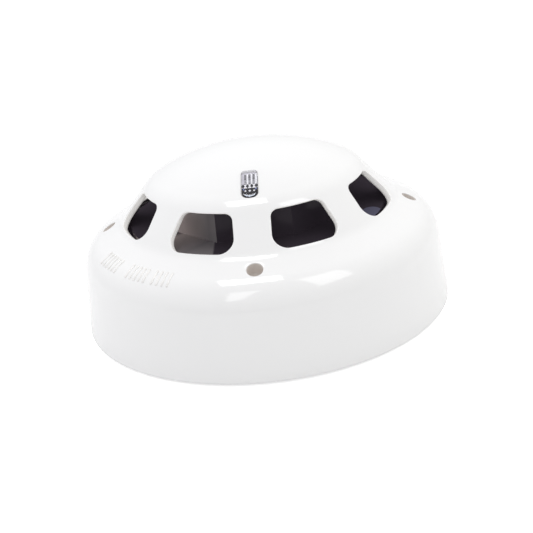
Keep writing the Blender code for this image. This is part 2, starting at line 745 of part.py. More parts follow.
def make_base():
    outlines = [
        circle((0, 0), BASE_RADIUS, ROUND_STEPS),
        circle((0, 0), CABLE_HOLE, 32),
        slot_outline(SLOT_NEAR, SLOT_FAR, SLOT_WIDTH, 0.0),
        slot_outline(SLOT_NEAR, SLOT_FAR, SLOT_WIDTH, 180.0),
    ]
    for k in range(BAYONET_COUNT):
        middle = FIRST_HOOK + k * 360 / BAYONET_COUNT
        outlines.append(sector_outline(HOOK_REACH, LUG_RADIUS, middle + 1.0, HOOK_ARC - 5.0))
    base = plate("base_plate", outlines, 0.0, BASE_THICKNESS, BASE_PLASTIC)

    low = BASE_THICKNESS - OVERLAP
    rim_inner = BASE_RADIUS - BASE_RIM_WALL
    inset = 0.05 * MM
    rim = [
        (BASE_RADIUS - inset, BASE_RIM_TOP),
        (BASE_RADIUS - inset, low),
        (rim_inner, low),
        (rim_inner, BASE_RIM_TOP),
    ]
    join(base, turned("base_rim", rim, BASE_PLASTIC, closed=True, collection=CUTTERS))
    collar = [
        (CABLE_HOLE + 2.2 * MM, 5.0 * MM),
        (CABLE_HOLE + 2.2 * MM, low),
        (CABLE_HOLE + 0.6 * MM, low),
        (CABLE_HOLE + 0.6 * MM, 5.0 * MM),
    ]
    join(base, turned("cable_collar", collar, BASE_PLASTIC, closed=True, steps=32, collection=CUTTERS))

    hook_floor = LUG_FOOT + LUG_THICKNESS + HOOK_GAP
    anchor = rim_inner + OVERLAP
    for k in range(BAYONET_COUNT):
        middle = FIRST_HOOK + k * 360 / BAYONET_COUNT
        hook = sector_outline(HOOK_REACH, anchor, middle, HOOK_ARC)
        join(base, plate(f"hook_{k + 1}", [hook], hook_floor, HOOK_THICKNESS, BASE_PLASTIC, CUTTERS))
        stop_middle = middle - LUG_ARC / 2 - 0.7 - STOP_ARC / 2
        stop = sector_outline(HOOK_REACH + 0.2 * MM, anchor - 0.2 * MM, stop_middle, STOP_ARC)
        height = hook_floor + HOOK_THICKNESS / 2 - low
        join(base, plate(f"stop_{k + 1}", [stop], low, height, BASE_PLASTIC, CUTTERS))

    pads = bmesh.new()
    for quarter in range(TERMINAL_COUNT):
        centre = polar(TERMINAL_CIRCLE, terminal_angle(quarter), (PAD_TOP + low) / 2)
        add_block(pads, centre, (10 * MM, 10 * MM, PAD_TOP - low), terminal_angle(quarter))
    join(base, mesh_object("terminal_pads", pads, collection=CUTTERS))
    pilots = bmesh.new()
    for quarter in range(TERMINAL_COUNT):
        centre = polar(TERMINAL_CIRCLE, terminal_angle(quarter))
        add_cylinder(pilots, centre, 1.9 * MM, 0.8 * MM, PAD_TOP + 2 * MM, 12)
    cut(base, mesh_object("pilot_holes", pilots, collection=CUTTERS))


def make_seal_ring():
    height = (BASE_RIM_TOP + CHASSIS_FLOOR) / 2
    bpy.ops.mesh.primitive_torus_add(
        major_radius=BASE_RADIUS - BASE_RIM_WALL / 2,
        minor_radius=0.75 * MM,
        major_segments=ROUND_STEPS,
        minor_segments=6,
        location=(0.0, 0.0, height),
    )
    ring = bpy.context.object
    ring.name = "seal_ring"
    for collection in list(ring.users_collection):
        collection.objects.unlink(ring)
    place(ring, SEAL_RUBBER)


def settle(obj):
    """Replaces an object's modifiers with their result, smooth except at real edges."""
    graph = bpy.context.evaluated_depsgraph_get()
    mesh = bpy.data.meshes.new_from_object(obj.evaluated_get(graph))
    obj.modifiers.clear()
    obj.data = mesh
    mesh.name = obj.name
    mesh.shade_smooth()
    mesh.set_sharp_from_angle(angle=math.radians(SHARP_ANGLE))


def build_base():
    make_base()
    for quarter in range(TERMINAL_COUNT):
        make_terminal(quarter)
        make_contact_spring(quarter)


def build_head():
    for quarter in range(TERMINAL_COUNT):
        make_contact_blade(quarter)
    make_chassis()
    make_circuit_board()
    make_board_parts()
    for number, angle in enumerate(BOARD_SCREW_ANGLES, 1):
        seat = polar(BOARD_SCREW_CIRCLE, angle, BOARD_TOP + GAP)
        make_screw(f"board_screw_{number}", 2.4 * MM, 1.4 * MM, 1.1 * MM, 4.8 * MM, seat)
    make_inner_housing()
    make_thermistor()
    make_light_pipe()
    make_cover()
    for quarter in range(4):
        seat = polar(SOCKET_CIRCLE, 90 * quarter + 45, 12.9 * MM)
        make_screw(f"chassis_screw_{quarter + 1}", 2.5 * MM, 1.5 * MM, 1.2 * MM, 8.0 * MM, seat, flip=True)


def make_axis(name, parent=None):
    """An empty on the detector's axis, which a group of parts moves with."""
    axis = bpy.data.objects.new(name, None)
    axis.empty_display_size = 20 * MM
    axis.parent = parent
    PARTS.objects.link(axis)
    return axis


build_base()
base_parts = list(PARTS.objects)
make_seal_ring()
seal_parts = [obj for obj in PARTS.objects if obj not in base_parts]
build_head()
head_parts = [obj for obj in PARTS.objects if obj not in base_parts + seal_parts]
bpy.context.view_layer.update()
for part in base_parts + seal_parts + head_parts:
    settle(part)
lift_axis = make_axis("head_lift_axis")
twist_axis = make_axis("head_twist_axis", lift_axis)
for part in seal_parts:
    part.parent = lift_axis
for part in head_parts:
    part.parent = twist_axis
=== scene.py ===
"""Looks for a plug-in ceiling heat detector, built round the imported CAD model. Metres, +Z up, dome up."""

import math

import bmesh
import bpy
from mathutils import Matrix, Vector


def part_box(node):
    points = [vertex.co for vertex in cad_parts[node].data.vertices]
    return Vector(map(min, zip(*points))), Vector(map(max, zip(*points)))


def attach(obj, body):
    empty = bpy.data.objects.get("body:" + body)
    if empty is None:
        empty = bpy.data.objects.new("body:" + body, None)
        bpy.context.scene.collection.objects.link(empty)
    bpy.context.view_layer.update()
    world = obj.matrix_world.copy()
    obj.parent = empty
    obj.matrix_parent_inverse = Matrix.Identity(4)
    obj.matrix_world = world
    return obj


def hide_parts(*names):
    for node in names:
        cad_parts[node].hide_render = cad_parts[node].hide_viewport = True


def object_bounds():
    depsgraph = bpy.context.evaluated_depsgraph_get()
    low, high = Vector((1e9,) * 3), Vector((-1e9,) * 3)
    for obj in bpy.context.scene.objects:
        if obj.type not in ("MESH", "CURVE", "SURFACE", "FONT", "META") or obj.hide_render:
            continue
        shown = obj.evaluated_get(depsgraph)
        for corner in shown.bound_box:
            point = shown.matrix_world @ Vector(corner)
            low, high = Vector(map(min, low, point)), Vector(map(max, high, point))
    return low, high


MM = 0.001
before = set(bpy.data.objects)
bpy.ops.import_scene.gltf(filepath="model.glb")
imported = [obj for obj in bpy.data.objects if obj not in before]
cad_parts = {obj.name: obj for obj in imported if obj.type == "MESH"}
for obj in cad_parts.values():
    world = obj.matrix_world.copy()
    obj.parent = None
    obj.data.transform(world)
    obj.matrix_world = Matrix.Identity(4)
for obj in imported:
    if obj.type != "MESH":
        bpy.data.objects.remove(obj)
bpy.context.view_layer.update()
COVER_LOW, COVER_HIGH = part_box("cover")


# ---------------------------------------------------------------- section of the cover

# Corners of the cover's outline (radius, height) and their rounding radii, in millimetres.
TOP = COVER_HIGH.z / MM
FOOT = (50.0, COVER_LOW.z / MM)
SHOULDER = (48.4, 23.3)
SHELF_ROOT = (37.5, 28.9)
DOME_EDGE = (28.3, 39.5)
SHOULDER_ROUND = 9.8
SHELF_ROUND = 6.0
DOME_ROUND = 10.0

# The last steps of the dome's arc make way for the rounding of its edge.
DOME_STEPS, DOME_TRIM = 160, 28
POINT_GAP = 0.12
NORMAL_PASSES = 12

# Wall thickness, and the radii between which it changes from one to the other.
WALL_THICK, WALL_THIN = 1.5, 1.45
WALL_FROM, WALL_TO = 38.5, 46.0


def arc_points(centre, radius, start, end, steps):
    points = []
    for i in range(steps + 1):
        angle = math.radians(start + (end - start) * i / steps)
        points.append(Vector((centre[0] + radius * math.cos(angle), centre[1] + radius * math.sin(angle))))
    return points


def rounded(before, corner, after, radius, steps):
    """Points of the arc that rounds a corner of a flat path."""
    before, corner, after = Vector(before), Vector(corner), Vector(after)
    back, ahead = (before - corner).normalized(), (after - corner).normalized()
    half = back.angle(ahead) / 2
    centre = corner + (back + ahead).normalized() * radius / math.sin(half)
    start = corner + back * radius / math.tan(half) - centre
    end = corner + ahead * radius / math.tan(half) - centre
    sweep = start.angle_signed(end)
    return [centre + Matrix.Rotation(-sweep * i / steps, 2) @ start for i in range(steps + 1)]


class Section:
    """The cover's outline by distance along it from the top of the dome, in millimetres."""

    def __init__(self):
        rise = TOP - DOME_EDGE[1]
        radius = (DOME_EDGE[0] ** 2 + rise**2) / (2 * rise)
        edge = 90 - math.degrees(math.asin(DOME_EDGE[0] / radius))
        dome = arc_points((0.0, TOP - radius), radius, 90, edge, DOME_STEPS)
        last = len(dome) - DOME_TRIM
        path = dome[:last]
        path += rounded(dome[last], DOME_EDGE, SHELF_ROOT, DOME_ROUND, 40)
        path += rounded(DOME_EDGE, SHELF_ROOT, SHOULDER, SHELF_ROUND, 30)
        path += rounded(SHELF_ROOT, SHOULDER, FOOT, SHOULDER_ROUND, 50)
        path.append(Vector(FOOT))
        self.points = []
        for first, second in zip(path, path[1:]):
            count = max(1, int((second - first).length / POINT_GAP))
            self.points += [first.lerp(second, i / count) for i in range(count)]
        self.points.append(path[-1])
        self.end = 0.0
        self.lengths = [0.0]
        for first, second in zip(self.points, self.points[1:]):
            self.end += (second - first).length
            self.lengths.append(self.end)
        self.normals = self._smooth_normals()

    def _smooth_normals(self):
        last = len(self.points) - 1
        normals = []
        for i in range(last + 1):
            along = self.points[min(i + 1, last)] - self.points[max(i - 1, 0)]
            along.normalize()
            normals.append(Vector((-along.y, along.x)))
        foot = normals[-1]
        for _ in range(NORMAL_PASSES):
            inner = [
                (before + normal * 2 + after).normalized()
                for before, normal, after in zip(normals, normals[1:], normals[2:])
            ]
            normals = [Vector((0.0, 1.0)), *inner, foot]
        return normals

    def _place(self, distance):
        low, high = 0, len(self.lengths) - 1
        distance = min(max(distance, 0.0), self.end)
        while high - low > 1:
            middle = (low + high) // 2
            if self.lengths[middle] <= distance:
                low = middle
            else:
                high = middle
        share = (distance - self.lengths[low]) / max(self.lengths[high] - self.lengths[low], 1e-9)
        return low, high, share

    def at(self, distance):
        low, high, share = self._place(distance)
        return self.points[low].lerp(self.points[high], share)

    def normal(self, distance):
        low, high, share = self._place(distance)
        return self.normals[low].lerp(self.normals[high], share).normalized()

    def where(self, radius):
        """Distance along the outline of the first point at a radius."""
        for i in range(1, len(self.points)):
            if self.points[i].x >= radius:
                first, second = self.points[i - 1], self.points[i]
                share = (radius - first.x) / (second.x - first.x)
                return self.lengths[i - 1] + share * (self.lengths[i] - self.lengths[i - 1])
        return self.end


SECTION = Section()


def wall_at(distance):
    """Wall thickness: heavier round the windows, lighter down the skirt."""
    start, end = SECTION.where(WALL_FROM), SECTION.where(WALL_TO)
    share = min(max((distance - start) / (end - start), 0.0), 1.0)
    share = share * share * (3 - 2 * share)
    return WALL_THICK + (WALL_THIN - WALL_THICK) * share


def surface(angle, distance, depth=0.0):
    """Point of the cover in metres, at an angle from -Y (radians), a distance along the outline and a depth."""
    point, normal = SECTION.at(distance), SECTION.normal(distance)
    radius = point.x - normal.x * depth
    height = point.y - normal.y * depth
    return Vector((radius * math.sin(angle), -radius * math.cos(angle), height)) * MM


def outward(angle, distance):
    normal = SECTION.normal(distance)
    return Vector((normal.x * math.sin(angle), -normal.x * math.cos(angle), normal.y))


# ---------------------------------------------------------------- mesh builder


class Builder:
    """Collects faces by the position of their corners, so that neighbouring patches share their edges."""

    def __init__(self):
        self.index, self.points, self.faces = {}, [], []
        self.shade, self.shades = 0, []

    def vertex(self, point):
        key = tuple(round(value * 2e6) for value in point)
        if key not in self.index:
            self.index[key] = len(self.points)
            self.points.append(point.copy())
        return self.index[key]

    def face(self, corners, flip=False):
        ids = list(dict.fromkeys(self.vertex(corner) for corner in corners))
        if len(ids) > 2:
            self.faces.append(ids[::-1] if flip else ids)
            self.shades.append(self.shade)

    def rows(self, rows, closed=False, flip=False):
        """Quads between neighbouring rows of points."""
        for upper, lower in zip(rows, rows[1:]):
            count = len(upper)
            for i in range(count if closed else count - 1):
                j = (i + 1) % count
                self.face([upper[i], lower[i], lower[j], upper[j]], flip)

    def fan(self, rim, centre, flip=False):
        for i, point in enumerate(rim):
            self.face([point, centre, rim[(i + 1) % len(rim)]], flip)

    def disc(self, rim, centre, flip=False, rings=3):
        """A disc filled with rings round its centre."""
        rows = [[point.lerp(centre, k / rings) for point in rim] for k in range(rings)]
        self.rows(rows, closed=True, flip=flip)
        self.fan(rows[-1], centre, flip)

    def object(self, name):
        mesh = bpy.data.meshes.new(name)
        mesh.from_pydata([tuple(p) for p in self.points], [], self.faces)
        mesh.polygons.foreach_set("material_index", self.shades)
        bm = bmesh.new()
        bm.from_mesh(mesh)
        bmesh.ops.recalc_face_normals(bm, faces=bm.faces)
        bm.to_mesh(mesh)
        bm.free()
        mesh.shade_smooth()
        return linked(name, mesh)


def linked(name, data):
    """A new object in the scene."""
    obj = bpy.data.objects.new(name, data)
    bpy.context.scene.collection.objects.link(obj)
    return obj


# ---------------------------------------------------------------- the cover

# The skin is eight equal sectors, each cut along its length at these distances.
SECTORS = 8
ACROSS = 24
HALF_SECTOR = math.pi / SECTORS
DOME_START = SECTION.where(13.0)
WINDOW_START = SECTION.where(28.35)
SHELF_START = SECTION.where(38.3)
SHELF_END = SECTION.where(44.4)
DOWN = {"dome": 20, "window": 24, "shelf": 14}
CAP_ROWS, SKIRT_ROWS, HOLE_ROWS = 12, 46, 9

# Millimetres. NEAR, FAR, TOP, FOOT and AT are distances from the axis, HEIGHT is above the ceiling face, and the rest
# are lengths.
WINDOW_TOP, WINDOW_FOOT = 29.85, 36.85
WINDOW_HALF_TOP, WINDOW_HALF_FOOT = 6.85, 9.65
WINDOW_ROUNDS = (2.6, 2.6, 3.3, 3.3)
WINDOW_BEVEL, WINDOW_DRAFT = 0.22, 0.5
LENS_NEAR, LENS_FAR, LENS_HALF = 16.7, 26.5, 2.12
SLOT_ROUNDS = (1.1, 1.1, 1.7, 1.7)
SLOT_BEVEL = 0.2
CORNER_STEPS = 6
SOCKET_AT = 41.2
SOCKET_RADIUS, SOCKET_DEPTH, SOCKET_BEVEL = 2.05, 3.6, 0.22
SOCKET_BOSS_RADIUS, SOCKET_BOSS_DEPTH = 3.1, 4.7
SCREW_BOSS_RADIUS, SCREW_HOLE_RADIUS = 3.3, 1.5
SCREW_BOSS_HEIGHT, SCREW_HOLE_HEIGHT = 15.0, 22.0
LIP = 0.4

# Materials of the cover's faces, after the plain skin: reveals that glow with painted light, and sockets in painted
# shade.
REVEAL, SOCKET = 1, 2


def outline_sections(corners, radii, counts, turn):
    """Four runs of points round a rounded four-sided outline, each from one corner's middle to the next's."""
    arcs = []
    for i in range(4):
        arcs.append(rounded(corners[i - 1], corners[i], corners[(i + 1) % 4], radii[i], 2 * turn))
    runs = []
    for i in range(4):
        first, second = arcs[i][turn:], arcs[(i + 1) % 4][: turn + 1]
        straight = counts[i] - 2 * turn
        between = [first[-1].lerp(second[0], k / straight) for k in range(1, straight)]
        runs.append(first + between + second)
    return runs


def hole_ring(half_top, top, half_foot, foot, radii, down):
    """A four-sided outline as one closed ring of flat points, in step with its sector's edge ring."""
    corners = [Vector(c) for c in ((-half_top, top), (half_top, top), (half_foot, foot), (-half_foot, foot))]
    runs = outline_sections(corners, radii, (ACROSS, down, ACROSS, down), CORNER_STEPS)
    return [point for run in runs for point in run[:-1]]


def circle_ring(radius, distance):
    """A round outline on the shelf, in step with its sector's edge ring."""
    ring = []
    for start, count in ((225, ACROSS), (315, DOWN["shelf"]), (45, ACROSS), (135, DOWN["shelf"])):
        for i in range(count):
            angle = math.radians(start + 90 * i / count)
            ring.append(Vector((radius * math.cos(angle), distance + radius * math.sin(angle))))
    return ring


def edge_ring(start, end, down):
    """Flat (angle, distance) points round a sector, from its upper left corner, clockwise seen from outside."""
    ring = []
    for i in range(ACROSS):
        ring.append((-HALF_SECTOR + 2 * HALF_SECTOR * i / ACROSS, start))
    for i in range(down):
        ring.append((HALF_SECTOR, start + (end - start) * i / down))
    for i in range(ACROSS):
        ring.append((HALF_SECTOR - 2 * HALF_SECTOR * i / ACROSS, end))
    for i in range(down):
        ring.append((-HALF_SECTOR, end + (start - end) * i / down))
    return ring


def flat_to_angle(point):
    """(angle, distance) of a flat (sideways, distance) point, in millimetres."""
    return math.asin(point.x / SECTION.at(point.y).x), point.y


def away(ring):
    """Unit vectors that point away from the hole, for each point of its outline."""
    result = []
    middle = sum(ring, Vector((0.0, 0.0))) / len(ring)
    for i, point in enumerate(ring):
        along = (ring[(i + 1) % len(ring)] - ring[i - 1]).normalized()
        side = Vector((along.y, -along.x))
        result.append(side if side.dot(point - middle) > 0 else -side)
    return result


def plain_sector(builder, middle, start, end, down, inside=False):
    rows = []
    for j in range(down + 1):
        distance = start + (end - start) * j / down
        thickness = wall_at(distance) if inside else 0.0
        angles = [middle - HALF_SECTOR + 2 * HALF_SECTOR * i / ACROSS for i in range(ACROSS + 1)]
        rows.append([surface(angle, distance, thickness) for angle in angles])
    builder.rows(rows, flip=inside)


def holed_sector(builder, middle, start, end, down, ring, inside=False):
    """A sector of skin round a hole. Its rows crowd together towards the hole, and the last lies on the ring."""
    outer = edge_ring(start, end, down)
    inner = [flat_to_angle(point) for point in ring]
    rows = []
    for k in range(HOLE_ROWS + 1):
        share = 1 - (1 - k / HOLE_ROWS) ** 1.5
        row = []
        for (a0, s0), (a1, s1) in zip(outer, inner):
            angle, distance = a0 + (a1 - a0) * share, s0 + (s1 - s0) * share
            row.append(surface(middle + angle, distance, wall_at(distance) if inside else 0.0))
        rows.append(row)
    builder.rows(rows, closed=True, flip=inside)


def on_inner_skin(middle, ring):
    """The outline's points on the inner face of the wall."""
    row = []
    for point in ring:
        angle, distance = flat_to_angle(point)
        row.append(surface(middle + angle, distance, wall_at(distance)))
    return row


def rolled_edge(middle, ring, bevel, steps=4):
    """Rows of points that roll from the skin, a bevel away from the outline, into the hole."""
    sides = away(ring)
    rows = []
    for k in range(steps + 1):
        turn = math.radians(90 * k / steps)
        row = []
        for point, side in zip(ring, sides):
            angle, distance = flat_to_angle(point)
            near_angle, near_distance = flat_to_angle(point + side * bevel)
            at = surface(middle + angle, distance)
            near = surface(middle + near_angle, near_distance)
            normal = outward(middle + angle, distance)
            row.append(at + (near - at) * (1 - math.sin(turn)) - normal * bevel * MM * (1 - math.cos(turn)))
        rows.append(row)
    return rows


def widened(ring, bevel):
    return [point + side * bevel for point, side in zip(ring, away(ring))]


def through_hole(builder, middle, start, end, down, ring, bevel, under=None):
    """A sector of both skins with a hole through the wall, its outer edge rolled; under is its outline inside."""
    under = under or ring
    holed_sector(builder, middle, start, end, down, widened(ring, bevel))
    rolled = rolled_edge(middle, ring, bevel)
    inner_row = on_inner_skin(middle, under)
    wall = [[a.lerp(b, k / 3) for a, b in zip(rolled[-1], inner_row)] for k in (1, 2)]
    builder.rows(rolled[:3], closed=True)
    # The reveal's faces glow with painted light.
    builder.shade = REVEAL
    builder.rows(rolled[2:] + wall + [inner_row], closed=True)
    builder.shade = 0
    holed_sector(builder, middle, start, end, down, under, inside=True)


def socket(builder, middle, distance):
    """A blind socket square to the shelf, inside a boss."""
    shelf = (SHELF_START, SHELF_END, DOWN["shelf"])
    ring = circle_ring(SOCKET_RADIUS, distance)
    holed_sector(builder, middle, *shelf, widened(ring, SOCKET_BEVEL))
    rolled = rolled_edge(middle, ring, SOCKET_BEVEL)
    drop = outward(middle, distance) * MM
    wall = [[point - drop * (SOCKET_DEPTH * k / 6) for point in rolled[-1]] for k in range(1, 7)]
    builder.rows(rolled, closed=True)
    # The socket's wall and floor are darkened with painted shade.
    builder.shade = SOCKET
    builder.rows([rolled[-1]] + wall, closed=True)
    builder.disc(wall[-1], surface(middle, distance) - drop * (SOCKET_DEPTH + SOCKET_BEVEL))
    builder.shade = 0
    boss = circle_ring(SOCKET_BOSS_RADIUS, distance)
    holed_sector(builder, middle, *shelf, boss, inside=True)
    top = on_inner_skin(middle, boss)
    low_middle = surface(middle, distance) - drop * SOCKET_BOSS_DEPTH
    low = [point - drop * ((point - low_middle).dot(drop) / drop.dot(drop)) for point in top]
    builder.rows([top, low], closed=True, flip=True)
    builder.disc(low, low_middle, flip=True)


def screw_boss(builder, middle, distance):
    """A screw boss under the shelf, with its blind hole."""
    shelf = (SHELF_START, SHELF_END, DOWN["shelf"])
    foot, hole_top = SCREW_BOSS_HEIGHT * MM, SCREW_HOLE_HEIGHT * MM
    plain_sector(builder, middle, *shelf)
    ring = circle_ring(SCREW_BOSS_RADIUS, distance)
    holed_sector(builder, middle, *shelf, ring, inside=True)
    top = on_inner_skin(middle, ring)
    low = [Vector((point.x, point.y, foot)) for point in top]
    centre = surface(middle, distance)
    mouth = []
    for point in low:
        side = Vector((point.x - centre.x, point.y - centre.y, 0.0)).normalized() * (SCREW_HOLE_RADIUS * MM)
        mouth.append(Vector((centre.x + side.x, centre.y + side.y, foot)))
    end = [Vector((point.x, point.y, hole_top)) for point in mouth]
    builder.rows([top, low, mouth, end], closed=True, flip=True)
    builder.disc(end, Vector((centre.x, centre.y, hole_top)), flip=True)


def window_ring(draft=0.0):
    top, foot = SECTION.where(WINDOW_TOP) - draft, SECTION.where(WINDOW_FOOT)
    return hole_ring(WINDOW_HALF_TOP, top, WINDOW_HALF_FOOT, foot, WINDOW_ROUNDS, DOWN["window"])


def slot_ring():
    near, far = SECTION.where(LENS_NEAR), SECTION.where(LENS_FAR)
    return hole_ring(LENS_HALF, near, LENS_HALF, far, SLOT_ROUNDS, DOWN["dome"])


def make_cap(builder, around):
    """The middle of the dome, both skins."""
    for inside in (False, True):
        depth = wall_at(0) if inside else 0.0
        distances = [DOME_START * k / CAP_ROWS for k in range(1, CAP_ROWS + 1)]
        rows = [[surface(angle, distance, depth) for angle in around] for distance in distances]
        builder.rows(rows, closed=True, flip=inside)
        builder.fan(rows[0], surface(0.0, 0.0, depth), flip=not inside)


def make_skirt(builder, around):
    """Both skins below the shelf, joined by a rounded lip."""
    foot = SECTION.end
    distances = [SHELF_END + (foot - LIP - SHELF_END) * k / SKIRT_ROWS for k in range(SKIRT_ROWS + 1)]
    outer = [[surface(angle, distance) for angle in around] for distance in distances]
    inner = [[surface(angle, distance, wall_at(distance)) for angle in around] for distance in distances]
    builder.rows(outer, closed=True)
    builder.rows(inner, closed=True, flip=True)
    roll = [outer[-1]]
    for k, inside in ((1, False), (2, False), (3, False), (3, True), (2, True), (1, True), (0, True)):
        turn = math.radians(30 * k)
        depth, rise = LIP * (1 - math.cos(turn)), LIP * (1 - math.sin(turn))
        if inside:
            depth = wall_at(foot) - depth
        roll.append([surface(angle, foot - rise, depth) for angle in around])
    builder.rows(roll, closed=True)


def make_cover():
    builder = Builder()
    around = [2 * HALF_SECTOR * i / ACROSS - HALF_SECTOR for i in range(SECTORS * ACROSS)]
    make_cap(builder, around)
    slot, window, drafted = slot_ring(), window_ring(), window_ring(WINDOW_DRAFT)
    socket_at = SECTION.where(SOCKET_AT)
    dome = (DOME_START, WINDOW_START, DOWN["dome"])
    cone = (WINDOW_START, SHELF_START, DOWN["window"])
    for k in range(SECTORS):
        middle = 2 * HALF_SECTOR * k
        if k == 0:
            through_hole(builder, middle, *dome, slot, SLOT_BEVEL)
        else:
            plain_sector(builder, middle, *dome)
            plain_sector(builder, middle, *dome, inside=True)
        through_hole(builder, middle + HALF_SECTOR, *cone, window, WINDOW_BEVEL, drafted)
        if k % 2 == 0:
            socket(builder, middle, socket_at)
        else:
            screw_boss(builder, middle, socket_at)
    make_skirt(builder, around)
    return builder.object("cover_shell")


# ---------------------------------------------------------------- light pipe

# The lens in millimetres: distances from the axis, and sideways from its middle line.
LENS_GAP = 0.1
LENS_FILLET = 0.2
LENS_PROUD = 0.35
NEAR_ROUND, FAR_ROUND = 1.0, 1.56
BEND_FROM, BEND_BOW, BEND = 24.9, 0.08, 0.07
PRISM_DEPTH = 0.45
COLUMNS = (0.0, 0.1, 0.2, 0.31, 0.39, 0.46, 0.535, 0.61, 0.68, 0.76, 0.86, 0.965)
COLUMNS += (1.07, 1.17, 1.27, 1.38, 1.48, 1.57, 1.66, 1.75, 1.84, 1.95, 2.05)

# Three columns of grooves cross the near part of the lens, in dashes with a side in painted shade and a grey one in
# painted light.
SIDE_COLUMN, DASH_HALF = 1.07, 0.31
DASH_PITCH, DASH_ORIGIN, DASH_DEPTH = 0.56, 18.0, 0.20
DASH_FIRST, DASH_LAST = 17.35, 21.45
DARK_SHARE = 0.45
LILAC_FROM = 1.38
ROW = DASH_PITCH / 5
# Diamonds stand beyond them: columns, distance from the axis, half width, half length.
PITS = ((0.535, 1.66), 22.05, 0.42, 0.80)
STUDS = ((0.0, SIDE_COLUMN), 23.65, 0.30, 0.36)
GLINTS = ((1.55,), 23.1, 0.30, 0.35)
PIT_DEPTH, STUD_DEPTH = 0.30, 0.12
FAR_PART = 22.75
# A curved facet lies near the far end, coloured with a painted reflection of the overhead light.
SMILE_AT, SMILE_BOW, SMILE_HALF, SMILE_REACH = 25.3, 0.27, 0.24, 1.32

# Materials of the lens's faces, after the clear skin. Those of the prisms are painted light and shade for what each
# facet shows.
LIGHT, GREY, DARK, PALE_BLUE, PAINTED_LILAC, OVERHEAD_REFLECTION = 1, 2, 3, 4, 5, 6

# The square rod under the lens.
LEG_SIDE, LEG_TOP, LEG_FROM_AXIS, LEG_ROUND = 3.0, 41.4, 19.3, 0.45


def lens_rows(inset):
    """(distance from the axis, half width) of the rows of the lens outline, moved in by an inset."""
    near, far = LENS_NEAR + LENS_GAP + inset, LENS_FAR - LENS_GAP - inset
    half = LENS_HALF - LENS_GAP - inset
    near_round, far_round = NEAR_ROUND - inset, FAR_ROUND - inset
    rows = []
    for k in range(9):
        turn = math.radians(90 * k / 8)
        rows.append((near + near_round * (1 - math.cos(turn)), half - near_round * (1 - math.sin(turn))))
    span = far - far_round - near - near_round
    count = round(span / ROW)
    rows += [(near + near_round + span * k / count, half) for k in range(1, count)]
    for k in range(12, -1, -1):
        turn = math.radians(90 * k / 12)
        rows.append((far - far_round * (1 - math.cos(turn)), half - far_round * (1 - math.sin(turn))))
    return rows


def lens_point(across, radius, depth):
    return surface(math.asin(across / radius), SECTION.where(radius), depth)


def lens_grid(inset, depth):
    """Grid of lens points; depth is a function of (across, radius)."""
    sides = [-c for c in COLUMNS[:0:-1]] + list(COLUMNS)
    full = COLUMNS[-1]
    grid = []
    for radius, half in lens_rows(inset):
        row = [(side / full * half, radius) for side in sides]
        grid.append([lens_point(a, r, depth(a, r)) for a, r in row])
    return grid


def rim_of(grid):
    return grid[0] + [row[-1] for row in grid[1:-1]] + grid[-1][::-1] + [row[0] for row in grid[-2:0:-1]]


def skin_depth(across, radius):
    """The lens stands proud of the dome and bends down at its far end."""
    bend = max(radius + BEND_BOW * across * across - BEND_FROM, 0.0)
    return BEND * bend * bend - LENS_PROUD


def diamond(across, radius, shape):
    """1 at the middle of a diamond, 0 at its edge and beyond."""
    columns, row, half_width, half_length = shape
    side = min(abs(abs(across) - column) for column in columns)
    return max(0.0, 1 - side / half_width - abs(radius - row) / half_length)


def smile(across, radius):
    """1 on a curved facet near the far end of the lens, 0 beyond it."""
    offset = abs(radius - SMILE_AT + SMILE_BOW * across * across)
    return max(0.0, 1 - offset / SMILE_HALF) if abs(across) < SMILE_REACH else 0.0


def in_dash(across, radius):
    in_column = min(abs(across), abs(abs(across) - SIDE_COLUMN)) < DASH_HALF
    return in_column and DASH_FIRST < radius < DASH_LAST


def dash_phase(radius):
    return ((radius - DASH_ORIGIN) / DASH_PITCH) % 1.0


def prism_depth(across, radius):
    depth = PRISM_DEPTH
    if in_dash(across, radius):
        depth += DASH_DEPTH * (1 - abs(2 * dash_phase(radius) - 1))
    raised = diamond(across, radius, STUDS) + diamond(across, radius, GLINTS) + smile(across, radius)
    return depth - PIT_DEPTH * diamond(across, radius, PITS) + STUD_DEPTH * raised


def prism_shade(across, radius):
    """Material of a facet, in painted light and shade for what it would show through the clear skin."""
    if diamond(across, radius, PITS) > 0:
        return DARK
    if smile(across, radius) > 0:
        return OVERHEAD_REFLECTION
    if radius > FAR_PART:
        if diamond(across, radius, STUDS) > 0:
            return LIGHT
        return PALE_BLUE if diamond(across, radius, GLINTS) > 0 else DARK
    if in_dash(across, radius):
        return DARK if dash_phase(radius) < DARK_SHARE else GREY
    return PAINTED_LILAC if across < -LILAC_FROM or radius < DASH_FIRST else LIGHT


def make_lens():
    """Clear lens: a smooth skin over an underside cut into prisms."""
    builder = Builder()
    top = lens_grid(LENS_FILLET, skin_depth)
    builder.rows(top)
    rims = [rim_of(top)]
    for k in range(1, 5):
        turn = math.radians(90 * k / 4)
        drop = LENS_FILLET * (1 - math.cos(turn))
        inset = LENS_FILLET * (1 - math.sin(turn))
        rims.append(rim_of(lens_grid(inset, lambda a, r, drop=drop: skin_depth(a, r) + drop)))
    under = lens_grid(0.0, prism_depth)
    rims.append(rim_of(under))
    builder.rows(rims, closed=True, flip=True)
    clear_faces = len(builder.faces)
    builder.rows(under, flip=True)
    lens = builder.object("light_pipe_lens")
    for polygon in lens.data.polygons:
        if polygon.index >= clear_faces:
            centre = polygon.center / MM
            polygon.material_index = prism_shade(centre.x, -centre.y / math.cos(math.atan2(centre.x, -centre.y)))
            polygon.use_smooth = False
    return lens


